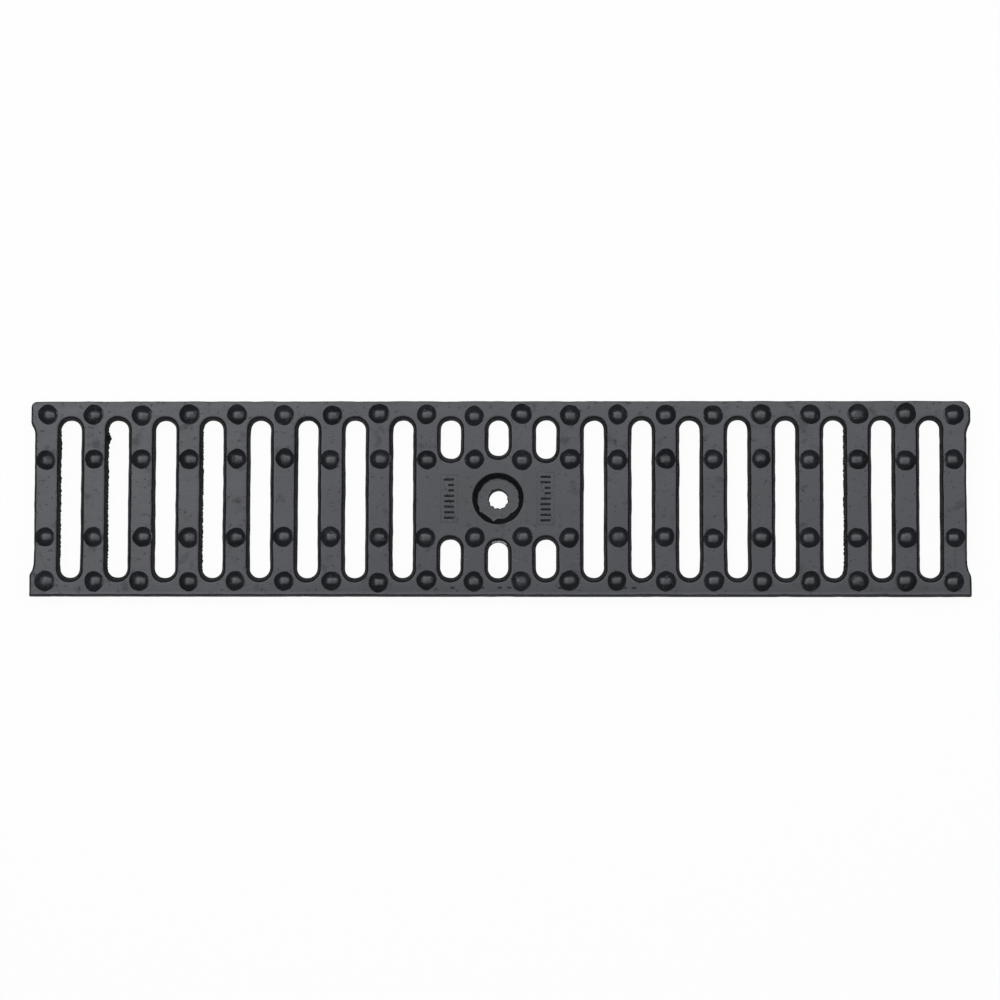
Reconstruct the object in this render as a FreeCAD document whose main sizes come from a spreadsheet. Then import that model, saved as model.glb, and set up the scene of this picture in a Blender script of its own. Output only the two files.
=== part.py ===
# Slotted grating for a 100 mm drainage channel, sand cast in iron as one piece.
#
# The long side lies along X, the short side along Y, and +Z points up out of the road surface.
# The origin is the middle of the flat underside, which rests on the ledges of the channel.
# The two halves of the mould part at a level between underside and deck, and every wall leans away
# from that level, so the plate is padded and the slots are pocketed both ways from it.
import FreeCAD, Part
import math
import os

import Sketcher

DIMENSIONS = {
    # plate
    "body_length": 495.5,
    "body_width": 104.0,
    "deck_height": 13.0,
    "parting_height": 8.5,
    "side_draft": 2.0,
    "rim_bevel": 0.8,
    # spacing lugs that stand out at the four corners of the ends
    "lug_reach": 2.25,
    "lug_root": 15.0,
    "lug_tip": 11.5,
    "corner_north_east": 5.0,
    "corner_north_west": 3.0,
    "corner_south_east": 1.5,
    "corner_south_west": 1.5,
    "lug_tip_round": 1.5,
    "lug_root_round": 3.0,
    # water slots, measured where they are narrowest
    "slot_pitch": 25.35,
    "slot_width": 10.6,
    "slot_end": 41.9,
    "slots_per_side": 8,
    "side_slot_start": 21.6,
    "middle_slot_start": 23.2,
    "head_draft": 25.0,
    "foot_draft": 15.0,
    # anti-slip studs
    "stud_columns": 20,
    "stud_outer_row": 44.1,
    "stud_inner_row": 20.55,
    "stud_radius": 4.9,
    "stud_waist": 3.5,
    "stud_waist_height": 1.2,
    "stud_top": 1.6,
    "stud_height": 2.2,
    # seat of the locking bolt
    "recess_radius": 13.5,
    "recess_depth": 5.0,
    "bolt_hole_radius": 5.0,
    # hollows that lighten the centre pad from below, either side of the bolt boss
    "relief_depth": 5.5,
    "relief_inner": 16.5,
    "relief_outer": 31.0,
    "relief_half_width": 15.0,
    "relief_round": 3.0,
}

STUD_SIDES = 12  # the studs are many, so each dome is a few flats rather than a true round
STUD_COLUMN = "(dims.stud_columns - 1) / 2 * dims.slot_pitch"
TOUCH = 1e-4


def make_sheet(doc):
    """Write the driving dimensions into a spreadsheet, one cell with an alias each."""
    sheet = doc.addObject("Spreadsheet::Sheet", "dims")
    for row, (name, value) in enumerate(DIMENSIONS.items(), start=1):
        sheet.set(f"A{row}", name)
        sheet.set(f"B{row}", str(value))
        sheet.setAlias(f"B{row}", name)
    doc.recompute()
    return sheet


def origin_plane(body, role):
    """Return the plane or axis of the body's own origin that has this role."""
    return next(item for item in body.Origin.OriginFeatures if item.Role == role)


def new_sketch(body, name, plane, lift=None):
    """Add a sketch on an origin plane, lifted along the plane's normal by an expression."""
    sketch = body.newObject("Sketcher::SketchObject", name)
    sketch.AttachmentSupport = [(origin_plane(body, plane), "")]
    sketch.MapMode = "FlatFace"
    if lift:
        sketch.setExpression(".AttachmentOffset.Base.z", lift)
    return sketch


def drive(sketch, name, expression, *constraint):
    """Add a dimension to a sketch, name it and drive it from the sheet."""
    index = sketch.addConstraint(Sketcher.Constraint(*constraint, sketch.evalExpression(expression)))
    sketch.renameConstraint(index, name)
    sketch.setExpression(f"Constraints.{name}", expression)


def draw_polygon(sketch, corners):
    """Draw a closed loop through corners given as expressions (X, Y) or (X, Y, rounding)."""
    count = len(corners)
    points = [FreeCAD.Vector(*map(sketch.evalExpression, corner[:2]), 0) for corner in corners]
    for start, end in zip(points, points[1:] + points[:1]):
        sketch.addGeometry(Part.LineSegment(start, end))
    for side, (across, along, *_) in enumerate(corners):
        sketch.addConstraint(Sketcher.Constraint("Coincident", side, 2, (side + 1) % count, 1))
        drive(sketch, f"across{side}", across, "DistanceX", -1, 1, side, 1)
        drive(sketch, f"along{side}", along, "DistanceY", -1, 1, side, 1)
    for side, (_, _, *rounding) in enumerate(corners):
        for radius in rounding:
            sketch.fillet(side, 1, sketch.evalExpression(radius), True, True)
            arc = max(i for i, item in enumerate(sketch.Geometry) if isinstance(item, Part.ArcOfCircle))
            drive(sketch, f"rounding{side}", radius, "Radius", arc)


def draw_circle(sketch, radius):
    """Draw a circle about the sketch's origin."""
    up = FreeCAD.Vector(0, 0, 1)
    sketch.addGeometry(Part.Circle(FreeCAD.Vector(), up, sketch.evalExpression(radius)))
    sketch.addConstraint(Sketcher.Constraint("Coincident", 0, 3, -1, 1))
    drive(sketch, "radius", radius, "Radius", 0)


def draw_slot(sketch, centre, low_end, high_end):
    """Draw a slot along Y with half-round ends, from low_end to high_end at X = centre."""
    radius = "dims.slot_width / 2"
    high, low = f"{high_end} - {radius}", f"{low_end} + {radius}"
    x, top, bottom, half = map(sketch.evalExpression, (centre, high, low, radius))
    up = FreeCAD.Vector(0, 0, 1)
    for y, start in ((top, 0.0), (bottom, math.pi)):
        circle = Part.Circle(FreeCAD.Vector(x, y, 0), up, half)
        sketch.addGeometry(Part.ArcOfCircle(circle, start, start + math.pi))
    for side, start, end in ((x - half, top, bottom), (x + half, bottom, top)):
        sketch.addGeometry(Part.LineSegment(FreeCAD.Vector(side, start, 0), FreeCAD.Vector(side, end, 0)))
    for arc, line, following in ((0, 2, 1), (1, 3, 0)):
        sketch.addConstraint(Sketcher.Constraint("Tangent", arc, 2, line, 1))
        sketch.addConstraint(Sketcher.Constraint("Tangent", line, 2, following, 1))
    sketch.addConstraint(Sketcher.Constraint("Vertical", 2))
    drive(sketch, "radius", radius, "Radius", 0)
    drive(sketch, "centre", centre, "DistanceX", -1, 1, 0, 3)
    drive(sketch, "high", high, "DistanceY", -1, 1, 0, 3)
    drive(sketch, "low", low, "DistanceY", -1, 1, 1, 3)


def both_ways(feature, up_draft, down_draft):
    """Run a pad or pocket from the parting level up to the deck and down to the underside."""
    feature.SideType = "Two sides"
    feature.Type = "Length"
    feature.Type2 = "Length"
    feature.Reversed = feature.TypeId == "PartDesign::Pocket"
    feature.setExpression("Length", "dims.deck_height - dims.parting_height")
    feature.setExpression("Length2", "dims.parting_height")
    feature.setExpression("TaperAngle", up_draft)
    feature.setExpression("TaperAngle2", down_draft)


def add_feature(body, kind, name, profile):
    """Add a sketch-based feature to the body and make it the tip."""
    feature = body.newObject(f"PartDesign::{kind}", name)
    feature.Profile = profile
    body.Tip = feature
    return feature


def repeat(body, name, originals, lines=(), mirrors=()):
    """Repeat features, or the whole body if none is given, along lines and then across origin planes.

    A line is an axis, its length and the count along it.
    """
    pattern = body.newObject("PartDesign::MultiTransform", name)
    pattern.TransformMode = "Features" if originals else "Whole shape"
    steps = []
    for number, (axis, length, count) in enumerate(lines):
        step = body.newObject("PartDesign::LinearPattern", f"{name}Line{number}")
        step.Direction = (origin_plane(body, axis), [""])
        step.setExpression("Length", length)
        step.setExpression("Occurrences", count)
        steps.append(step)
    for plane in mirrors:
        step = body.newObject("PartDesign::Mirrored", f"{name}Mirror{plane[:2]}")
        step.MirrorPlane = (origin_plane(body, plane), [""])
        steps.append(step)
    pattern.Originals = originals
    pattern.Transformations = steps
    body.Tip = pattern
    body.Document.recompute()
    return pattern


def add_outline(body):
    """Pad the plate with the four lugs that keep neighbouring gratings apart."""
    quadrants = (("east", "north"), ("west", "north"), ("west", "south"), ("east", "south"))
    corners = []
    for east_west, north_south in quadrants:
        across = "" if east_west == "east" else "-"
        along = "" if north_south == "north" else "-"
        end = f"{across}dims.body_length / 2"
        tip = f"{across}(dims.body_length / 2 + dims.lug_reach)"
        lug = [(end, f"{along}(dims.body_width / 2 - dims.lug_root)", "dims.lug_root_round"),
               (tip, f"{along}(dims.body_width / 2 - dims.lug_tip)", "dims.lug_tip_round"),
               (tip, f"{along}dims.body_width / 2", f"dims.corner_{north_south}_{east_west}")]
        corners += lug if across == along else reversed(lug)
    outline = new_sketch(body, "Outline", "XY_Plane", "dims.parting_height")
    draw_polygon(outline, corners)
    plate = add_feature(body, "Pad", "Plate", outline)
    both_ways(plate, "-dims.side_draft", "-dims.side_draft")


def bevel_rim(body):
    """Break the edge round the outside of the deck."""
    plate = body.Tip
    height = plate.Shape.BoundBox.ZMax
    decks = [face for face in plate.Shape.Faces if face.BoundBox.ZMin > height - TOUCH]
    rim = max(decks, key=lambda face: face.Area).OuterWire
    rim_edges = [f"Edge{number}" for number, edge in enumerate(plate.Shape.Edges, start=1)
                 if any(edge.isSame(other) for other in rim.Edges)]
    bevel = body.newObject("PartDesign::Chamfer", "DeckRim")
    bevel.Base = (plate, rim_edges)
    bevel.setExpression("Size", "dims.rim_bevel")
    body.Tip = bevel


def add_slot(body, name, centre, low_end, high_end):
    """Cut one slot: half-round ends that flare up to the deck, and a square-ended well between the ribs."""
    head = new_sketch(body, f"{name}HeadOutline", "XY_Plane", "dims.parting_height")
    draw_slot(head, centre, low_end, high_end)
    flare = add_feature(body, "Pocket", f"{name}Head", head)
    flare.Reversed = True
    flare.setExpression("Length", "dims.deck_height - dims.parting_height")
    flare.setExpression("TaperAngle", "dims.head_draft")

    foot = new_sketch(body, f"{name}FootOutline", "XY_Plane", "dims.parting_height")
    west, east = f"{centre} - dims.slot_width / 2", f"{centre} + dims.slot_width / 2"
    draw_polygon(foot, [(west, low_end), (east, low_end), (east, high_end), (west, high_end)])
    well = add_feature(body, "Pocket", f"{name}Foot", foot)
    well.setExpression("Length", "dims.parting_height")
    well.setExpression("TaperAngle", "dims.foot_draft")
    return [flare, well]


def add_slots(body):
    """Cut the full slots of both wings and the short ones above and below the centre pad."""
    count = "dims.slots_per_side"
    first = f"-({count} + 1) * dims.slot_pitch"
    full = add_slot(body, "FullSlot", first, "-dims.slot_end", "dims.slot_end")
    repeat(body, "FullSlots", full, [("X_Axis", f"({count} - 1) * dims.slot_pitch", count)],
           ["YZ_Plane"])
    side = add_slot(body, "SideSlot", "-dims.slot_pitch", "dims.side_slot_start", "dims.slot_end")
    repeat(body, "SideSlots", side, mirrors=("YZ_Plane", "XZ_Plane"))
    middle = add_slot(body, "MiddleSlot", "0", "dims.middle_slot_start", "dims.slot_end")
    repeat(body, "MiddleSlots", middle, mirrors=["XZ_Plane"])


def add_bolt_seat(body):
    """Sink the flared recess for the bolt's head and drill the bolt hole through its floor."""
    mouth = new_sketch(body, "RecessOutline", "XY_Plane", "dims.deck_height")
    draw_circle(mouth, "dims.recess_radius")
    recess = add_feature(body, "Pocket", "Recess", mouth)
    recess.setExpression("Length", "dims.recess_depth")
    recess.setExpression("TaperAngle", "-dims.head_draft")

    centre = new_sketch(body, "BoltHoleOutline", "XY_Plane", "dims.deck_height")
    draw_circle(centre, "dims.bolt_hole_radius")
    hole = add_feature(body, "Pocket", "BoltHole", centre)
    hole.Type = "ThroughAll"


def add_relief(body):
    """Hollow the centre pad from below on both sides of the bolt boss, leaning out as it opens."""
    foot = new_sketch(body, "ReliefOutline", "XY_Plane")
    near, far, half = "dims.relief_inner", "dims.relief_outer", "dims.relief_half_width"
    rounding = "dims.relief_round"
    draw_polygon(foot, [(near, f"-{half}", rounding), (far, f"-{half}", rounding),
                        (far, half, rounding), (near, half, rounding)])
    relief = add_feature(body, "Pocket", "Relief", foot)
    relief.Reversed = True
    relief.setExpression("Length", "dims.relief_depth")
    relief.setExpression("TaperAngle", "-dims.foot_draft")
    repeat(body, "Reliefs", [relief], mirrors=["YZ_Plane"])


def draw_stud_ring(sketch, radius):
    """Draw a regular polygon with its corners on a circle about the sketch's origin."""
    reach = sketch.evalExpression(radius)
    turns = [2 * math.pi * corner / STUD_SIDES for corner in range(STUD_SIDES)]
    points = [FreeCAD.Vector(reach * math.cos(turn), reach * math.sin(turn), 0) for turn in turns]
    for start, end in zip(points, points[1:] + points[:1]):
        sketch.addGeometry(Part.LineSegment(start, end))
    guide = sketch.addGeometry(Part.Circle(FreeCAD.Vector(), FreeCAD.Vector(0, 0, 1), reach), True)
    sketch.addConstraint(Sketcher.Constraint("Coincident", guide, 3, -1, 1))
    for side in range(STUD_SIDES):
        sketch.addConstraint(Sketcher.Constraint("Coincident", side, 2, (side + 1) % STUD_SIDES, 1))
        sketch.addConstraint(Sketcher.Constraint("PointOnObject", side, 1, guide))
    for side in range(1, STUD_SIDES):
        sketch.addConstraint(Sketcher.Constraint("Equal", 0, side))
    sketch.addConstraint(Sketcher.Constraint("PointOnObject", 0, 1, -1))
    drive(sketch, "radius", radius, "Radius", guide)


def upright_faces(shape, level):
    """Name the faces that stand upright from this level."""
    return [f"Face{number}" for number, face in enumerate(shape.Faces, start=1)
            if abs(face.normalAt(0, 0).z) < TOUCH and abs(face.BoundBox.ZMin - level) < TOUCH]


def add_stud_tier(body, name, radius, top_radius, base, rise):
    """Pad one tier of the first stud and lean its sides in until its top has the radius asked for."""
    ring = new_sketch(body, f"{name}Ring", "XY_Plane", base)
    ring.setExpression(".AttachmentOffset.Base.x", f"-{STUD_COLUMN}")
    ring.setExpression(".AttachmentOffset.Base.y", "dims.stud_inner_row")
    draw_stud_ring(ring, radius)
    tier = add_feature(body, "Pad", name, ring)
    tier.setExpression("Length", rise)
    body.Document.recompute()
    lean = body.newObject("PartDesign::Draft", f"{name}Lean")
    lean.Base = (tier, upright_faces(tier.Shape, ring.Placement.Base.z))
    lean.NeutralPlane = (ring, [""])
    flat_shift = f"({radius} - {top_radius}) * cos(180 / {STUD_SIDES})"
    lean.setExpression("Angle", f"atan({flat_shift} / ({rise}))")
    body.Tip = lean


def make_studs(doc):
    """Make one domed stud and set it on every crossing of a bar and a rail."""
    body = doc.addObject("PartDesign::Body", "studs")
    body.AllowCompound = True
    add_stud_tier(body, "StudFoot", "dims.stud_radius", "dims.stud_waist",
                  "dims.deck_height", "dims.stud_waist_height")
    add_stud_tier(body, "StudCrown", "dims.stud_waist", "dims.stud_top",
                  "dims.deck_height + dims.stud_waist_height", "dims.stud_height - dims.stud_waist_height")
    doc.recompute()
    repeat(body, "StudRows", [], [("X_Axis", f"2 * {STUD_COLUMN}", "dims.stud_columns"),
                                  ("Y_Axis", "dims.stud_outer_row - dims.stud_inner_row", "2")],
           ["XZ_Plane"])
    return body


def make_plate(doc):
    """Make the plate with its lugs, slots, bolt seat and hollows."""
    body = doc.addObject("PartDesign::Body", "plate")
    add_outline(body)
    doc.recompute()
    bevel_rim(body)
    add_slots(body)
    add_bolt_seat(body)
    add_relief(body)
    doc.recompute()
    return body


def check(doc, grating):
    """Stop if any object failed, or if the casting is not one sound solid of the size asked for."""
    failed = [item.Name for item in doc.Objects if {"Invalid", "Error"} & set(item.State)]
    if failed:
        raise RuntimeError(f"failed to recompute: {failed}")
    shape = grating.Shape
    if shape.isNull() or not shape.isValid() or len(shape.Solids) != 1:
        raise RuntimeError("the grating is not one valid solid")
    box = shape.BoundBox
    expected = (DIMENSIONS["body_length"] + 2 * DIMENSIONS["lug_reach"], DIMENSIONS["body_width"],
                DIMENSIONS["deck_height"] + DIMENSIONS["stud_height"])
    for found, wanted in zip((box.XLength, box.YLength, box.ZLength), expected):
        if abs(found - wanted) > 0.01:
            raise RuntimeError(f"the grating measures {box}, not {expected}")


def main():
    """Build the grating and write it as parts/grating.step."""
    doc = FreeCAD.newDocument("channel_drain_grating")
    make_sheet(doc)
    plate = make_plate(doc)
    flat_volume = plate.Shape.Volume
    studs = make_studs(doc)
    grating = doc.addObject("Part::Fuse", "grating")
    grating.Label = "grating"
    grating.Base = plate
    grating.Tool = studs
    grating.Refine = True
    doc.recompute()
    check(doc, grating)
    added = grating.Shape.Volume - flat_volume
    if abs(added - studs.Shape.Volume) > 1.0:
        raise RuntimeError(f"the studs add {added}, not {studs.Shape.Volume}")
    os.makedirs("parts", exist_ok=True)
    grating.Shape.exportStep(f"parts/{grating.Label}.step")
    print(f"volume {grating.Shape.Volume / 1000:.1f} cm3, {len(grating.Shape.Faces)} faces")


main()
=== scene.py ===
"""Looks of a cast-iron channel drain grating: the casting in fine detail, its dip coat and a studio."""

import logging
import math
import random
from collections.abc import Callable
from dataclasses import dataclass, field
from enum import Enum

import bmesh
import bpy
from bmesh.types import BMesh, BMFace
from mathutils import Matrix, Vector, noise


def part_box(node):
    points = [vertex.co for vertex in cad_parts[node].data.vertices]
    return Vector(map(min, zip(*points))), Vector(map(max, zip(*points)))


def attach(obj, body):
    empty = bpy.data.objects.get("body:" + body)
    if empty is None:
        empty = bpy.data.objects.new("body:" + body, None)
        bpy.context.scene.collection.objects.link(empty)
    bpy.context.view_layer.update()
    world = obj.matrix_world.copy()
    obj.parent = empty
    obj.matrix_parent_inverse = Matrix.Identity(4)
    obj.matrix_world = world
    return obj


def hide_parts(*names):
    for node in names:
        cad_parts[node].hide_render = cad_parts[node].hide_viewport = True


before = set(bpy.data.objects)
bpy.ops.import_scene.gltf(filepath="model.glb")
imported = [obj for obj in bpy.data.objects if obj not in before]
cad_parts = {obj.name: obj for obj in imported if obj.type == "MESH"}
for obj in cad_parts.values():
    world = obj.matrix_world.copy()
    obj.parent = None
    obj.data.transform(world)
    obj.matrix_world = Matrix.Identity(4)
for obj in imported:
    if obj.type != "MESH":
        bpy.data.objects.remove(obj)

log = logging.getLogger("grating")

MM = 0.001
SNAP = 1e-4
FILL_TURNS = (0.0, 0.3, 0.7, 1.1, 1.6, 2.0, 2.5)
NODE = "grating"
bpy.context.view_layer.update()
LOW, HIGH = (Vector(corner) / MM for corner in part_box(NODE))

Level = tuple[float, float]
Corner = tuple[float, float, float]
Colour = tuple[float, float, float]


class Side(Enum):
    """The two long walls of a slot."""

    WEST = -1
    EAST = 1


class Coat(Enum):
    """The casting's finishes and one painted highlight, numbered as its material slots."""

    GLOSS = 0
    SANDY = 1
    # A painted highlight: bright colour standing in for a glint on one slot lip.
    BARE = 2


def round_over(start: float, flat: float, radius: float, lean: float, steps: int,
               fall: int = -1) -> list[Level]:
    """Work out the levels of a rounded edge between a flat and a wall.

    Args:
        start: Inset at which the flat ends.
        flat: Height of the flat.
        radius: Radius of the rounding.
        lean: Slope at which the wall goes on, in degrees from level.
        steps: Number of levels round the edge.
        fall: -1 where the wall falls away from the flat, 1 where it rises.

    Returns:
        Pairs of inset and height.
    """
    turns = [math.radians(lean) * step / steps for step in range(steps + 1)]
    return [(start + radius * math.sin(turn), flat + fall * radius * (1 - math.cos(turn)))
            for turn in turns]


@dataclass(frozen=True)
class Heights:
    """Levels of the casting, in millimetres above its underside; the recess is the bolt seat's floor."""

    deck: float = 13.0
    parting: float = 8.5
    recess: float = 8.0
    hollow: float = 5.5


@dataclass(frozen=True)
class Outline:
    """The plate's outline: a rectangle with a spacing lug at each corner, in millimetres.

    The shares say how many times faster the line moves in at the ends and at the south and north sides.
    """

    half_length: float = HIGH.x
    half_width: float = HIGH.y
    lug_reach: float = 2.25
    lug_root: float = 15.0
    lug_tip: float = 11.5
    lug_round: float = 1.4
    both_rounds: float = 3.9
    least_round: float = 0.3
    corner_rounds: tuple[float, ...] = (5.0, 3.0, 1.0, 1.3)
    end_share: float = 2.9
    long_shares: tuple[float, float] = (2.3, 0.4)

    def corners(self, inset: float) -> list[Corner]:
        """List the corners counter-clockwise from the north-east lug.

        Args:
            inset: How far the line runs inside the outline.

        Returns:
            Each corner's X, Y and rounding.
        """
        slope = self.lug_root - self.lug_tip
        slip = inset * (math.hypot(slope, self.lug_reach) - slope) / self.lug_reach
        tip = self.half_length - inset * self.end_share
        tip_round = max(self.lug_round - inset, self.least_round)
        listed: list[Corner] = []
        for rounding, (east, north) in zip(self.corner_rounds, ((1, 1), (-1, 1), (-1, -1), (1, -1))):
            root = self.half_width - self.lug_root + slip
            shoulder = self.half_width - self.lug_tip + slip
            side = self.half_width - inset * self.long_shares[north > 0]
            lug = [(east * (tip - self.lug_reach), north * root, self.both_rounds - tip_round),
                   (east * tip, north * shoulder, tip_round),
                   (east * tip, north * side, max(rounding - inset, self.least_round))]
            listed += lug if east == north else lug[::-1]
        return listed


@dataclass(frozen=True)
class Slot:
    """One water slot, in millimetres, measured where it is narrowest."""

    centre: float
    start: float
    end: float
    width: float = 10.6
    step: float = 2.8
    ragged_step: float = 0.48
    ragged: Side | None = None

    def corners(self, grow: float, rounding: float) -> list[Corner]:
        """List the corners of the slot's outline.

        Args:
            grow: How far the outline stands outside the narrowest one.
            rounding: Radius of its corners.

        Returns:
            Each corner's X, Y and rounding, counter-clockwise.
        """
        half = self.width / 2 + grow
        west, east = self.centre - half, self.centre + half
        low, high = self.start - grow, self.end + grow
        return [(x, y, rounding) for x, y in ((west, low), (east, low), (east, high), (west, high))]

    def foot(self, point: Vector, grow: float, rounding: float, height: float) -> Vector:
        """Find where a point of the rim goes on the well's square-ended outline.

        Args:
            point: The point on the rim above.
            grow: How far the well stands outside the narrowest outline.
            rounding: Radius of the well's corners.
            height: Level of the well's outline.

        Returns:
            The new place.
        """
        half = self.width / 2
        hub = max(self.start + half, min(self.end - half, point.y))
        ray = Vector((point.x - self.centre, point.y - hub)).normalized()
        size = half + grow
        reach = size / max(abs(ray.x), abs(ray.y))
        side = size - rounding
        if min(abs(ray.x), abs(ray.y)) * reach > side:
            total = side * (abs(ray.x) + abs(ray.y))
            reach = total + math.sqrt(max(total ** 2 - 2 * side ** 2 + rounding ** 2, 0))
        return Vector((self.centre + ray.x * reach, hub + ray.y * reach, height))

    def steps(self, side: Side) -> int:
        """Say how many steps a long wall is cut into: many where it is ragged.

        Args:
            side: The wall.

        Returns:
            The number of steps.
        """
        step = self.ragged_step if side is self.ragged else self.step
        return max(2, round((self.end - self.start - self.width) / step))


class Foundry:
    """Builds a casting's skin in one bmesh, in millimetres, by sinking and raising level faces."""

    def __init__(self) -> None:
        """Start with an empty mesh."""
        self.bm: BMesh = bmesh.new()

    def plate(self, corners: list[Corner], height: float, arc_steps: int = 8) -> BMFace:
        """Lay a level face with rounded corners.

        Args:
            corners: X, Y and rounding of each corner, counter-clockwise.
            height: Level of the face.
            arc_steps: Steps round each corner.

        Returns:
            The face.
        """
        verts = [self.bm.verts.new((x, y, height)) for x, y, _ in corners]
        face = self.bm.faces.new(verts)
        for vert, (_, _, rounding) in zip(verts, corners):
            bevelled = bmesh.ops.bevel(self.bm, geom=[vert], offset=rounding, offset_type="OFFSET",
                                       segments=arc_steps, profile=0.5, affect="VERTICES", material=-1)
            face = bevelled["verts"][0].link_faces[0]
        return face

    def disc(self, x: float, y: float, height: float, radius: float, steps: int) -> BMFace:
        """Lay a round level face.

        Args:
            x: Its centre along the grating.
            y: Its centre across the grating.
            height: Level of the face.
            radius: Its radius.
            steps: Steps round its rim.

        Returns:
            The face.
        """
        made = bmesh.ops.create_circle(self.bm, cap_ends=True, segments=steps, radius=radius,
                                       matrix=Matrix.Translation((x, y, height)))
        return made["verts"][0].link_faces[0]

    def split(self, face: BMFace, plan: dict[float, int]) -> BMFace:
        """Cut a face's straight sides.

        Args:
            face: The face.
            plan: Number of steps for sides over each length, the longest first.

        Returns:
            The face.
        """
        for edge in list(face.edges):
            steps = next((count for length, count in plan.items() if edge.calc_length() > length), 1)
            if steps > 1:
                bmesh.ops.subdivide_edges(self.bm, edges=[edge], cuts=steps - 1)
        return face

    def sink(self, face: BMFace, levels: list[Level]) -> BMFace:
        """Inset a face again and again and set each ring to its own height.

        Args:
            face: The face, which keeps its rim.
            levels: Total inset and height of each ring.

        Returns:
            The face at the last level.
        """
        reached = 0.0
        for inset, height in levels:
            bmesh.ops.inset_region(self.bm, faces=[face], thickness=inset - reached, depth=0.0,
                                   use_boundary=True, use_even_offset=True)
            for vert in face.verts:
                vert.co.z = height
            reached = inset
        return face

    def open(self, face: BMFace) -> None:
        """Take a face away and leave its rim."""
        bmesh.ops.delete(self.bm, geom=[face], context="FACES_ONLY")

    def follow(self, face: BMFace, place: Callable[[Vector], Vector]) -> BMFace:
        """Extrude a face and move its new rim.

        Args:
            face: The face.
            place: Gives each rim point its new place.

        Returns:
            The new face.
        """
        made: BMFace = bmesh.ops.extrude_discrete_faces(self.bm, faces=[face])["faces"][0]
        for vert in made.verts:
            vert.co = place(vert.co)
        return made

    def loft(self, faces: list[BMFace]) -> None:
        """Draw walls from each level face to the next and leave the first and the last rim open.

        Args:
            faces: The faces in order, with as many corners each.
        """
        face = faces[0]
        for target in faces[1:]:
            places = [vert.co.copy() for vert in target.verts]
            bmesh.ops.delete(self.bm, geom=list(target.verts), context="VERTS")
            face = bmesh.ops.extrude_discrete_faces(self.bm, faces=[face])["faces"][0]
            for vert, place in zip(face.verts, places, strict=True):
                vert.co = place
        self.open(face)

    def add(self, part: "Foundry") -> None:
        """Take over another part's faces.

        Args:
            part: The part, which is used up.
        """
        mesh = bpy.data.meshes.new("part")
        part.bm.to_mesh(mesh)
        part.bm.free()
        self.bm.from_mesh(mesh)
        bpy.data.meshes.remove(mesh)

    def fill_level(self, height: float, holes: int) -> None:
        """Fill between all the open rims that lie at a height.

        Args:
            height: Level of the rims.
            holes: Number of rims inside the outer one, from which the number of triangles follows.

        Raises:
            RuntimeError: If no turn of the mesh lets the fill close.
        """
        rims = [edge for edge in self.bm.edges
                if edge.is_boundary and all(abs(vert.co.z - height) < SNAP for vert in edge.verts)]
        for turn in FILL_TURNS:
            spin = Matrix.Rotation(turn, 4, "Z")
            self.bm.transform(spin)
            made = bmesh.ops.triangle_fill(self.bm, use_beauty=True, use_dissolve=False, edges=rims)
            self.bm.transform(spin.inverted())
            faces = [item for item in made["geom"] if isinstance(item, BMFace)]
            if len(faces) == len(rims) + 2 * holes - 2 and all(rim.is_manifold for rim in rims):
                return
            bmesh.ops.delete(self.bm, geom=faces, context="FACES")
        raise RuntimeError(f"the rims at {height} mm do not close")


@dataclass(frozen=True)
class Stud:
    """The anti-slip studs' shape and pattern, in millimetres."""

    rows: tuple[float, ...] = (-43.95, -20.55, 20.85, 44.7)
    columns: int = 20
    radius: float = 5.1
    height: float = 2.2
    skirt: float = 0.42
    scatter: float = 0.28


@dataclass(frozen=True)
class Faults:
    """What sand casting leaves: slow and quick waves, torn walls, lumps and broken sand, in millimetres.

    Lumps hold a place round the bolt seat in degrees, a width in degrees and a depth. Nodules hold X, Y
    and how far each pushes east and north.
    """

    wave: float = 0.22
    wave_scale: float = 0.09
    ripple: float = 0.15
    ripple_scale: float = 0.3
    shrink: float = 0.4
    tear: float = 0.62
    tear_scales: tuple[float, float] = (1.6, 0.8)
    tear_limits: tuple[float, float] = (0.03, -0.12)
    nodules: tuple[tuple[float, float, float, float], ...] = ((-208.1, 32.5, 1.5, 0.0),
                                                              (21.2, -52.0, 0.0, -0.7))
    nodule_reach: float = 3.2
    lumps: tuple[tuple[float, float, float], ...] = ((150, 22, 0.25), (213, 9, -0.9), (236, 13, 0.35),
                                                     (258, 7, -1.0), (273, 9, 0.5), (310, 32, 0.6))
    lump_gain: float = 1.7
    crumble: float = 0.5
    hole_rag: float = 0.13
    seat_grain: float = 0.09
    rail_sag: float = 0.2


@dataclass(frozen=True)
class Marks:
    """Plain stand-ins for foundry marks, in millimetres: two ladders of bars and a row of dashes.

    Ladders hold an X and a number of bars.
    """

    ladders: tuple[tuple[float, int], ...] = ((-26.0, 8), (25.2, 9))
    pad_width: float = 9.6
    pad_rise: float = 0.06
    bar_pitch: float = 2.9
    bar_lengths: tuple[float, ...] = (3.4, 5.6, 5.6)
    bar_width: float = 1.45
    bar_rises: tuple[float, float] = (0.6, 0.85)
    dashes: tuple[float, ...] = (-24.0, -8.5, 1.0, 6.0, 33.0, 39.0, 62.0, 67.0, 72.0)
    dash_line: float = -47.4
    dash_size: tuple[float, float] = (2.6, 1.3)
    dash_rise: float = 0.22


@dataclass(frozen=True)
class Hollow:
    """The hollows under the centre pad, in millimetres: near and far end, half width and rounding."""

    near: float = 15.9
    far: float = 31.6
    half_width: float = 15.6
    rounding: float = 3.6


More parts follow.
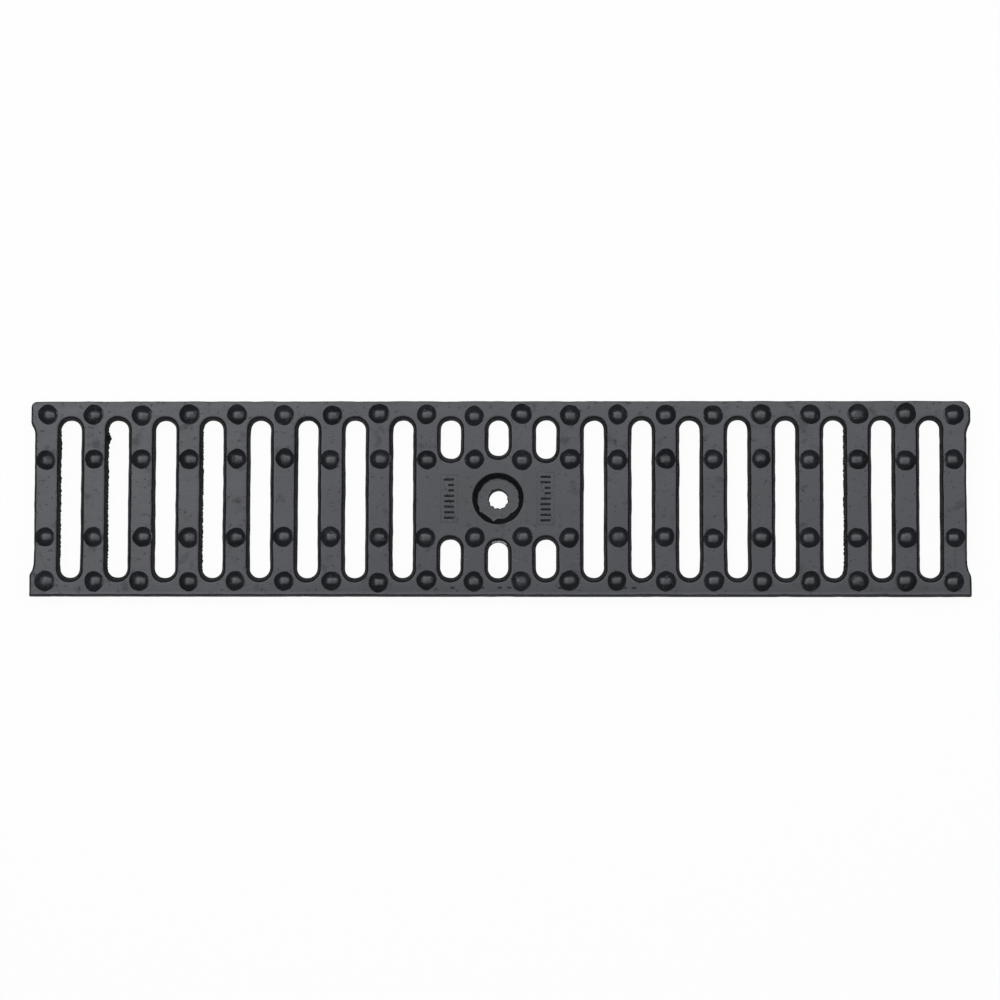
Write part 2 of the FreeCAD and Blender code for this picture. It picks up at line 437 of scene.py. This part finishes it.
@dataclass
class Casting:
    """The whole grating as poured: plate, slots, bolt seat, studs and marks, with its casting faults."""

    heights: Heights = field(default_factory=Heights)
    outline: Outline = field(default_factory=Outline)
    pitch: float = 25.35
    slots_per_side: int = 8
    slot_end: float = 41.9
    side_slot_start: float = 21.6
    middle_slot_start: float = 23.2
    head_slope: float = 0.7
    recess_radius: float = 13.8
    hole_radius: float = 5.0
    stud: Stud = field(default_factory=Stud)
    hollow: Hollow = field(default_factory=Hollow)
    marks: Marks = field(default_factory=Marks)
    faults: Faults = field(default_factory=Faults)
    seed: int = 11
    foundry: Foundry = field(default_factory=Foundry)

    def slots(self) -> list[Slot]:
        """List every slot: the full ones of both wings and the short ones round the centre pad.

        Returns:
            The slots.
        """
        ragged = {-9: Side.WEST, -8: Side.WEST, -6: Side.WEST, 7: Side.EAST}
        listed = []
        for place in range(2, 2 + self.slots_per_side):
            for number in (-place, place):
                listed.append(Slot(number * self.pitch, -self.slot_end, self.slot_end,
                                   ragged=ragged.get(number)))
        for number, start in ((-1, self.side_slot_start), (0, self.middle_slot_start),
                              (1, self.side_slot_start)):
            listed.append(Slot(number * self.pitch, start, self.slot_end))
            listed.append(Slot(number * self.pitch, -self.slot_end, -start))
        return listed

    def cut_slot(self, slot: Slot) -> Foundry:
        """Sink one slot from the deck, raise its well from the underside and join the two.

        Args:
            slot: The slot.

        Returns:
            Its walls.
        """
        part = Foundry()
        deck, parting = self.heights.deck, self.heights.parting
        flare, flat, half = 2.5, 0.45, slot.width / 2
        mouth = flare + flat
        face = part.plate(slot.corners(mouth, half + mouth - 0.35), deck)
        for vert in face.verts:
            vert.co.y -= self.head_slope * (vert.co.y < slot.start + half)
        for edge in [edge for edge in face.edges if edge.calc_length() > 4.0]:
            steps = slot.steps(Side.EAST if edge.verts[0].co.x > slot.centre else Side.WEST)
            bmesh.ops.subdivide_edges(part.bm, edges=[edge], cuts=steps - 1)
        levels = round_over(flat, deck, 1.4, 72, 6)
        lean = mouth - levels[-1][0]
        drop = levels[-1][1] - parting
        levels += [(mouth - lean * (1 - share), levels[-1][1] - drop * share)
                   for share in (0.35, 0.7, 0.92, 1.0)]
        face = part.sink(face, levels)
        for vert in part.bm.verts:
            share = (deck - vert.co.z) / (deck - parting)
            near = max(0.0, min(1.0, (slot.start + half + 8.0 - vert.co.y) / 8.0))
            vert.co.y += self.head_slope * share * near
        leaned = parting * math.tan(math.radians(15))
        well = [(0.05, 1.2, parting - 0.3), (0.3 * leaned, 2.0, parting * 0.7),
                (0.65 * leaned, 3.0, parting * 0.35)]
        well += [(leaned + 0.8 - inset, 4.2 - inset, height)
                 for inset, height in reversed(round_over(0.0, 0.0, 0.8, 75, 4, fall=1))]
        for grow, rounding, height in well + [(leaned + 1.15, 4.5, 0.0)]:
            face = part.follow(face, lambda point: slot.foot(point, grow, rounding, height))
        part.open(face)
        return part

    def pour_plate(self) -> Foundry:
        """Raise and lower the outside walls from the parting level.

        Returns:
            The walls.
        """
        part = Foundry()
        deck, parting = self.heights.deck, self.heights.parting
        top = round_over(0.0, deck, 0.5, 90, 4)
        levels = [(1.3, deck)] + [(0.75 - inset, height) for inset, height in top]
        levels += [(0.2, deck - 1.2), (0.12, parting + 0.35), (0.0, parting), (0.12, parting - 0.35),
                   (0.4, 1.2)]
        foot = round_over(0.0, 0.0, 0.8, 90, 4, fall=1)
        levels += [(1.25 - inset, height) for inset, height in reversed(foot)] + [(1.65, 0.0)]
        plan = {100.0: 160, 50.0: 24, 5.0: 4}
        part.loft([part.split(part.plate(self.outline.corners(inset), height, arc_steps=6), plan)
                   for inset, height in levels])
        return part

    def sink_bolt_seat(self) -> Foundry:
        """Sink the recess with its uneven floor and take the bolt hole through.

        Returns:
            The walls and the floor.
        """
        part = Foundry()
        deck, floor = self.heights.deck, self.heights.recess
        mouth = self.recess_radius + 0.6
        seat = part.disc(0.0, 0.0, deck, mouth, 96)
        levels = round_over(0.4, deck, 0.8, 70, 5)
        foot = ((11.9, 1.6), (11.55, 0.6), (11.25, 0.15))
        levels += [(mouth - radius, floor + rise) for radius, rise in foot]
        levels += [(mouth - radius, floor) for radius in (10.7, 9.9, 9.1, 8.2, 7.4, 6.7, 6.1, 5.6)]
        levels += [(mouth - 5.2, floor - 0.12), (mouth - self.hole_radius, floor - 0.5)]
        seat = part.sink(seat, levels)
        for radius, height in ((5.0, 0.9), (5.25, 0.25), (5.7, 0.0), (6.2, 0.0)):
            level = Vector((0, 0, height))
            seat = part.follow(seat, lambda point: point.xy.normalized().to_3d() * radius + level)
        part.open(seat)
        self.roughen_seat(part)
        return part

    def roughen_seat(self, part: Foundry) -> None:
        """Leave sand-broken lumps round the foot of the recess wall and a ragged hole.

        Args:
            part: The seat's walls and floor.
        """
        floor = self.heights.recess
        for vert in part.bm.verts:
            radius = vert.co.xy.length
            turn = math.degrees(math.atan2(vert.co.y, vert.co.x)) % 360
            around = Vector((math.cos(math.radians(turn)), math.sin(math.radians(turn)), 0))
            rough = noise.noise(around * 4.2 + Vector((3, 0, 0)))
            if floor - 0.05 < vert.co.z < floor + 2.0 and radius > 7.0:
                reach = sum(depth * max(0.0, 1 - abs(turn - place) / width)
                            for place, width, depth in self.faults.lumps)
                swell = max(0.0, 1 - abs(radius - 11.0) / 2.4)
                push = self.faults.lump_gain * reach + self.faults.crumble * rough
                vert.co.xy -= around.xy * push * swell
            if radius < 5.3 and vert.co.z > floor * 0.5:
                vert.co.xy *= 1 + self.faults.hole_rag * noise.noise(around * 4.4 + Vector((0, 9, 0)))

    def sink_hollow(self, side: Side) -> Foundry:
        """Hollow the centre pad from below, on one side of the bolt's boss.

        Args:
            side: The side.

        Returns:
            The hollow's walls and roof.
        """
        part = Foundry()
        hollow = self.hollow
        west, east = sorted((side.value * hollow.near, side.value * hollow.far))
        south, north = -hollow.half_width, hollow.half_width
        rim = [(x, y, hollow.rounding)
               for x, y in ((west, south), (east, south), (east, north), (west, north))]
        levels = round_over(0.35, 0.0, 0.7, 75, 3, fall=1)
        roof = self.heights.hollow
        levels += [(2.1, roof - 0.6), (2.5, roof - 0.1), (3.2, roof)]
        part.sink(part.plate(rim, 0.0, arc_steps=5), levels)
        return part

    def raise_stud(self, x: float, y: float, radius: float, rise: float) -> Foundry:
        """Raise a domed stud with a hollow foot fillet.

        Args:
            x: Its centre along the grating.
            y: Its centre across the grating.
            radius: Radius of the dome's foot.
            rise: Its height above the deck.

        Returns:
            The stud, closed below the deck.
        """
        part = Foundry()
        deck, skirt = self.heights.deck, self.stud.skirt
        sphere = (radius ** 2 + rise ** 2) / (2 * rise)
        reach = math.asin(radius / sphere)
        dome = part.disc(x, y, deck - 0.35, radius + skirt, 32)
        levels = [(0.06, deck - 0.02), (0.2, deck + 0.03), (0.34, deck + 0.12)]
        for share in (0.94, 0.84, 0.7, 0.55, 0.4, 0.25, 0.11):
            turn = reach * share
            levels.append((skirt + radius - sphere * math.sin(turn),
                           deck + rise - sphere * (1 - math.cos(turn))))
        part.sink(dome, levels)
        bmesh.ops.holes_fill(part.bm, edges=part.bm.edges)
        centre = Vector((x, y, deck))
        for vert in part.bm.verts:
            out = vert.co - centre
            blob = 0.08 * noise.noise(out * 0.2 + centre * 3.1)
            blob += 0.035 * noise.noise(out * 0.55 + centre * 1.7)
            vert.co.xy += out.xy * blob
            vert.co.z += 0.25 * blob * max(0.0, out.z)
        return part

    def raise_bar(self, place: tuple[float, float], size: tuple[float, float], rise: float) -> Foundry:
        """Raise one plain low bar.

        Args:
            place: Its centre.
            size: Its length along X and Y.
            rise: Its height above the deck.

        Returns:
            The bar, closed below the deck.
        """
        part = Foundry()
        deck = self.heights.deck
        east, north = size[0] / 2, size[1] / 2
        rim = [(place[0] + x * east, place[1] + y * north, 0.45)
               for x, y in ((-1, -1), (1, -1), (1, 1), (-1, 1))]
        mark = part.plate(rim, deck - 0.2, arc_steps=3)
        shoulder = [(0.12, 0.0), (0.26, 0.5), (0.42, 0.9), (0.62, 1.0)]
        part.sink(mark, [(inset, deck + rise * share) for inset, share in shoulder])
        bmesh.ops.holes_fill(part.bm, edges=part.bm.edges)
        return part

    def raise_studs(self) -> None:
        """Set a stud on every crossing, each a little off its place and shape."""
        chance = random.Random(self.seed)
        stud = self.stud
        for column in range(stud.columns):
            for row in stud.rows:
                x = (column - (stud.columns - 1) / 2) * self.pitch + chance.gauss(0, stud.scatter)
                y = row + chance.gauss(0, stud.scatter)
                radius = stud.radius * chance.uniform(0.96, 1.02)
                rise = stud.height * chance.uniform(0.92, 0.99)
                self.add(self.raise_stud(x, y, radius, rise))

    def raise_marks(self) -> None:
        """Raise plain bars where foundries put marks, in two ladders on low pads and a row of dashes."""
        chance = random.Random(self.seed)
        marks = self.marks
        for x, count in marks.ladders:
            self.add(self.raise_bar((x, 0.0), (marks.pad_width, 3.0 * count + 1.5), marks.pad_rise))
            for bar in range(count):
                y = (bar - (count - 1) / 2) * marks.bar_pitch
                length = chance.choice(marks.bar_lengths)
                rise = chance.uniform(*marks.bar_rises)
                place = (x + (max(marks.bar_lengths) - length) / 2, y)
                self.add(self.raise_bar(place, (length, marks.bar_width), rise))
        for x in marks.dashes:
            self.add(self.raise_bar((x, marks.dash_line), marks.dash_size, marks.dash_rise))

    def distort(self, part: Foundry) -> None:
        """Bend a part a little, as sand moulds do, and tear the ragged walls.

        Args:
            part: The part.
        """
        parting, faults = self.heights.parting, self.faults
        ragged = [slot for slot in self.slots() if slot.ragged]
        for vert in part.bm.verts:
            place = vert.co.copy()
            drift = noise.noise_vector(place * faults.wave_scale) * faults.wave
            drift += noise.noise_vector(place * faults.ripple_scale + Vector((7, 3, 1))) * faults.ripple
            drift.x -= faults.shrink * (1 - (place.x / HIGH.x) ** 2)
            for slot in ragged:
                wall = slot.centre + slot.ragged.value * slot.width / 2
                near = abs(place.x - wall) < 0.9 and slot.start + 3 < place.y < slot.end - 3
                if near and abs(place.z - parting) < 2.6:
                    along, down = faults.tear_scales
                    torn = noise.noise(Vector((wall, place.y * along, place.z * down))) * faults.tear
                    shift, least = faults.tear_limits
                    drift.x -= slot.ragged.value * max(torn + shift, least)
            for x, y, east, north in faults.nodules:
                lump = math.hypot(place.x - x, place.y - y)
                if lump < faults.nodule_reach and abs(place.z - parting) < 3.0:
                    drift.xy += Vector((east, north)) * (1 - lump / faults.nodule_reach)
            vert.co.x = max(LOW.x, min(HIGH.x, place.x + drift.x))
            vert.co.y = max(LOW.y, min(HIGH.y, place.y + drift.y))
            in_seat = place.xy.length < self.recess_radius - 1.5
            if in_seat and self.heights.recess - 0.3 < place.z < self.heights.recess + 0.5:
                vert.co.z += noise.noise(place * 1.1) * faults.seat_grain

    def add(self, part: Foundry) -> None:
        """Distort a part and take it over."""
        self.distort(part)
        self.foundry.add(part)

    def dress(self, bm: BMesh) -> None:
        """Give each face its coat: gloss on the flats, sand on the walls, and a painted highlight on one
        lip.

        Args:
            bm: The plate's mesh.
        """
        bm.normal_update()
        lip = Vector((0, -self.middle_slot_start, self.heights.parting))
        for face in bm.faces:
            spot = face.calc_center_median() - lip
            # Painted highlight: a patch at the head of the lower middle slot gets bright colour for its
            # glint.
            if abs(spot.x) < 3.6 and -1.2 < spot.y < 1.1 and 1.1 < spot.z < 2.3:
                face.material_index = Coat.BARE.value
            elif abs(face.normal.z) < 0.74:
                face.material_index = Coat.SANDY.value
            else:
                face.material_index = Coat.GLOSS.value

    def build(self) -> bpy.types.Object:
        """Pour the casting and hand it over as a finished object.

        Returns:
            The object, at the origin, in metres.
        """
        noise.seed_set(self.seed)
        self.add(self.pour_plate())
        for slot in self.slots():
            self.add(self.cut_slot(slot))
        self.add(self.sink_bolt_seat())
        for side in Side:
            self.add(self.sink_hollow(side))
        self.foundry.fill_level(self.heights.deck, len(self.slots()) + 1)
        self.foundry.fill_level(0.0, len(self.slots()) + 3)
        bm = self.foundry.bm
        bmesh.ops.remove_doubles(bm, verts=bm.verts, dist=SNAP)
        for vert in bm.verts:
            if abs(vert.co.y) > 49.5 and vert.co.z > self.heights.deck - 0.01:
                vert.co.z -= self.faults.rail_sag
        self.dress(bm)
        self.raise_marks()
        self.raise_studs()
        bmesh.ops.recalc_face_normals(bm, faces=bm.faces)
        bmesh.ops.scale(bm, vec=(MM, MM, MM), verts=bm.verts)
        for face in bm.faces:
            face.smooth = True
        loose = sum(not edge.is_manifold for edge in bm.edges)
        mesh = bpy.data.meshes.new("casting")
        bm.to_mesh(mesh)
        bm.free()
        mesh.calc_loop_triangles()
        log.info("casting: %d triangles, %d open edges", len(mesh.loop_triangles), loose)
        piece = bpy.data.objects.new("casting", mesh)
        bpy.context.scene.collection.objects.link(piece)
        return piece


class Nodes:
    """The node tree of a material or the world, with short calls for the nodes that finishes share."""

    def __init__(self, owner: bpy.types.Material | bpy.types.World) -> None:
        """Empty the owner's tree.

        Args:
            owner: The material or the world.
        """
        owner.use_nodes = True
        self.owner = owner
        self.tree = owner.node_tree
        self.tree.nodes.clear()

    def add(self, kind: str, **inputs: object) -> bpy.types.Node:
        """Add a node and fill its inputs.

        Args:
            kind: The node's type.
            **inputs: Values or sockets by input name, with _ for a space.

        Returns:
            The node.
        """
        node = self.tree.nodes.new(kind)
        for name, value in inputs.items():
            socket = node.inputs[name.replace("_", " ")]
            if isinstance(value, bpy.types.NodeSocket):
                self.tree.links.new(value, socket)
            else:
                socket.default_value = value
        return node

    def noise(self, scale: float, detail: float = 3.0,
              stretch: tuple[float, float, float] = (1, 1, 1)) -> bpy.types.NodeSocket:
        """Add a noise in object space.

        Args:
            scale: Bumps per metre.
            detail: Number of finer layers.
            stretch: Scale along each axis.

        Returns:
            The noise's value socket.
        """
        place = self.add("ShaderNodeTexCoord").outputs["Object"]
        mapped = self.add("ShaderNodeMapping", Vector=place, Scale=stretch).outputs[0]
        return self.add("ShaderNodeTexNoise", Vector=mapped, Scale=scale, Detail=detail).outputs[0]

    def ramp(self, value: bpy.types.NodeSocket, low: float, high: float, start: float = 0.0,
             end: float = 1.0) -> bpy.types.NodeSocket:
        """Map a range of a value onto another, smoothly and clamped.

        Args:
            value: The value's socket.
            low: Where the range begins.
            high: Where it ends.
            start: The result at and below low.
            end: The result at and above high.

        Returns:
            The result's socket.
        """
        node = self.add("ShaderNodeMapRange", Value=value)
        node.interpolation_type = "SMOOTHSTEP"
        for name, number in (("From Min", low), ("From Max", high), ("To Min", start), ("To Max", end)):
            node.inputs[name].default_value = number
        return node.outputs[0]

    def math(self, operation: str, first: object, second: object = 0.0) -> bpy.types.NodeSocket:
        """Combine two values.

        Args:
            operation: The sum to do.
            first: A number or a socket.
            second: A number or a socket.

        Returns:
            The result's socket.
        """
        node = self.tree.nodes.new("ShaderNodeMath")
        node.operation = operation
        for socket, value in zip(node.inputs, (first, second)):
            if isinstance(value, bpy.types.NodeSocket):
                self.tree.links.new(value, socket)
            else:
                socket.default_value = value
        return node.outputs[0]

    def join(self, share: bpy.types.NodeSocket, *shaders: bpy.types.Node) -> bpy.types.Node:
        """Mix two shaders.

        Args:
            share: Share of the second.
            *shaders: The two shaders' nodes.

        Returns:
            The mix's node.
        """
        mix = self.add("ShaderNodeMixShader", Fac=share)
        for shader, socket in zip(shaders, (mix.inputs[1], mix.inputs[2])):
            self.tree.links.new(shader.outputs[0], socket)
        return mix

    def blend(self, share: bpy.types.NodeSocket, first: Colour, second: Colour) -> bpy.types.NodeSocket:
        """Mix two colours.

        Args:
            share: Share of the second.
            first: The first colour.
            second: The second colour.

        Returns:
            The mix's socket.
        """
        mix = self.tree.nodes.new("ShaderNodeMix")
        mix.data_type = "RGBA"
        self.tree.links.new(share, mix.inputs["Factor"])
        mix.inputs["A"].default_value = (*first, 1)
        mix.inputs["B"].default_value = (*second, 1)
        return mix.outputs["Result"]


@dataclass(frozen=True)
class DipCoat:
    """Black bitumen dip coat over sand-cast iron, glossy or coarse with sand; or bright colour as a
    painted highlight.
    """

    name: str
    tone: Colour = (0.0072, 0.0076, 0.0094)
    # Random lighter patches of the coat; in the painted highlight, the brighter part of the glint.
    wear_and_glint_tone: Colour = (0.0125, 0.013, 0.0155)
    gloss: float = 0.5
    tint: Colour = (0.91, 0.95, 1.0)
    roughness: float = 0.225
    grit: float = 0.3
    bump: float = 0.3

    def material(self) -> bpy.types.Material:
        """Make the material.

        Returns:
            The material.
        """
        nodes = Nodes(bpy.data.materials.new(self.name))
        patches = nodes.ramp(nodes.noise(55, 4), 0.35, 0.65)
        colour = nodes.blend(patches, self.tone, self.wear_and_glint_tone)
        streaks = nodes.noise(150, 3, (0.5, 2.2, 1))
        specks = nodes.ramp(nodes.noise(380, 2), 0.64, 0.71)
        dents = nodes.ramp(nodes.noise(170, 1.5), 0.675, 0.71)
        rough = nodes.ramp(streaks, 0.3, 0.7, self.roughness - 0.03, self.roughness + 0.06)
        smudges = nodes.ramp(nodes.noise(120, 5), 0.56, 0.7)
        rough = nodes.math("ADD", rough, nodes.math("MULTIPLY", nodes.math("ADD", specks, smudges), 0.2))
        grains = nodes.math("MULTIPLY", nodes.noise(900, 3), self.grit)
        pits = nodes.math("MULTIPLY", nodes.math("ADD", specks, dents), 2.4)
        height = nodes.math("SUBTRACT", nodes.math("ADD", nodes.noise(330, 2), grains), pits)
        bump = nodes.add("ShaderNodeBump", Height=height, Strength=self.bump, Distance=0.00012)
        shader = nodes.add("ShaderNodeBsdfPrincipled", Base_Color=colour, Roughness=rough,
                           Normal=bump.outputs[0], Specular_Tint=(*self.tint, 1),
                           Specular_IOR_Level=self.gloss)
        nodes.add("ShaderNodeOutputMaterial", Surface=shader.outputs[0])
        return nodes.owner


@dataclass(frozen=True)
class Studio:
    """White floor, overhead soft boxes and a camera that looks almost straight down."""

    distance: float = 2.0
    tilt: float = 5.0
    turn: float = 1.6
    frame_width: float = 0.5313
    sensor: float = 36.0

    def floor(self) -> bpy.types.Object:
        """Lay the floor: white where seen or mirrored, with part of the shadow, and clear from below.

        Returns:
            The floor.
        """
        bm = bmesh.new()
        bmesh.ops.create_grid(bm, x_segments=1, y_segments=1, size=6.0)
        mesh = bpy.data.meshes.new("floor")
        bm.to_mesh(mesh)
        bm.free()
        ground = bpy.data.objects.new("floor", mesh)
        ground.location.z = -0.3 * MM
        bpy.context.scene.collection.objects.link(ground)
        nodes = Nodes(bpy.data.materials.new("studio_white"))
        path = nodes.add("ShaderNodeLightPath").outputs
        mirrored = nodes.math("MAXIMUM", path["Is Glossy Ray"], path["Is Transmission Ray"])
        seen = nodes.math("MAXIMUM", path["Is Camera Ray"], mirrored)
        plain = nodes.add("ShaderNodeBsdfDiffuse", Color=(0.9, 0.9, 0.9, 1))
        glow = nodes.add("ShaderNodeEmission", Color=(1, 1, 1, 1), Strength=1.0)
        white = nodes.join(nodes.math("MULTIPLY", seen, 0.95), plain, glow)
        behind = nodes.add("ShaderNodeNewGeometry").outputs["Backfacing"]
        surface = nodes.join(behind, white, nodes.add("ShaderNodeBsdfTransparent"))
        nodes.add("ShaderNodeOutputMaterial", Surface=surface.outputs[0])
        mesh.materials.append(nodes.owner)
        return ground

    def soft_box(self, name: str, centre: tuple[float, float, float], size: tuple[float, float],
                 radiance: float) -> None:
        """Hang one soft box, level, with a given brightness.

        Args:
            name: The lamp's name.
            centre: Where it hangs.
            size: Its length along X and Y.
            radiance: Its brightness, where 1 is white.
        """
        lamp = bpy.data.lights.new(name, "AREA")
        lamp.shape = "RECTANGLE"
        lamp.size, lamp.size_y = size
        lamp.energy = radiance * math.pi * size[0] * size[1]
        hung = bpy.data.objects.new(name, lamp)
        hung.location = centre
        hung.visible_camera = False
        bpy.context.scene.collection.objects.link(hung)

    def lights(self) -> None:
        """Hang the soft boxes above the grating, edge to edge and brighter to the back."""
        height = 0.85
        rows = (("far_box", 0.14, 0.5, 2.9), ("high_box", 0.04, 0.14, 2.15),
                ("near_box", -0.26, 0.04, 1.85), ("front_box", -0.42, -0.26, 1.0))
        for name, front, back, radiance in rows:
            self.soft_box(name, (0.06, (front + back) / 2, height), (1.38, back - front), radiance)
        self.soft_box("left_box", (-0.55, 0.04, height + 0.01), (0.7, 0.92), 0.7)

    def room(self) -> None:
        """Set the room: weak plain light, and white where looked at or mirrored below the horizon."""
        nodes = Nodes(bpy.data.worlds.new("room"))
        path = nodes.add("ShaderNodeLightPath").outputs
        direction = nodes.add("ShaderNodeTexCoord").outputs["Generated"]
        height = nodes.add("ShaderNodeSeparateXYZ", Vector=direction).outputs["Z"]
        mirrored = nodes.math("MAXIMUM", path["Is Glossy Ray"], path["Is Transmission Ray"])
        low = nodes.math("MULTIPLY", mirrored, nodes.math("LESS_THAN", height, 0.0))
        seen = nodes.math("MAXIMUM", path["Is Camera Ray"], low)
        colour = nodes.blend(seen, (0.11, 0.11, 0.115), (1, 1, 1))
        light = nodes.add("ShaderNodeBackground", Color=colour)
        nodes.add("ShaderNodeOutputWorld", Surface=light.outputs[0])
        bpy.context.scene.world = nodes.owner

    def camera(self) -> bpy.types.Object:
        """Set the camera above the grating, a little to its front and right.

        Returns:
            The camera.
        """
        centre = Vector((0.5, -0.4, 8.5)) * MM
        away = Vector((math.sin(math.radians(self.turn)), -math.sin(math.radians(self.tilt)), 0))
        away.z = math.sqrt(1 - away.length_squared)
        lens = bpy.data.cameras.new("camera")
        lens.sensor_width = self.sensor
        lens.lens = self.sensor * self.distance / self.frame_width
        lens.clip_end = 20.0
        camera = bpy.data.objects.new("camera", lens)
        up = away.cross(Vector((1, 0, 0))).normalized()
        side = up.cross(away)
        turned = Matrix((side, up, away)).transposed().to_4x4()
        camera.matrix_world = Matrix.Translation(centre + away * self.distance) @ turned
        bpy.context.scene.collection.objects.link(camera)
        bpy.context.scene.camera = camera
        return camera


COATS = {
    Coat.GLOSS: DipCoat("black_dip_coat"),
    Coat.SANDY: DipCoat("sandy_dip_coat", tone=(0.0115, 0.012, 0.0138),
                        wear_and_glint_tone=(0.015, 0.0155, 0.0175), gloss=0.08, roughness=0.55, grit=3.0, bump=0.6),
    # Painted highlight: bright colour that stands in for a glint on one slot lip.
    Coat.BARE: DipCoat("painted_glint_lip", tone=(0.5, 0.51, 0.53), wear_and_glint_tone=(0.85, 0.86, 0.88), tint=(1, 1, 1)),
}


def main() -> None:
    """Build the casting, dress it, light it and report what was made."""
    logging.basicConfig(level=logging.INFO, format="%(name)s: %(message)s")
    piece = Casting().build()
    for coat in Coat:
        piece.data.materials.append(COATS[coat].material())
    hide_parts(NODE)
    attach(piece, "root")
    studio = Studio()
    studio.floor()
    studio.lights()
    studio.room()
    studio.camera()
    bpy.context.scene.view_settings.view_transform = "Standard"


if __name__ == "__main__":
    main()
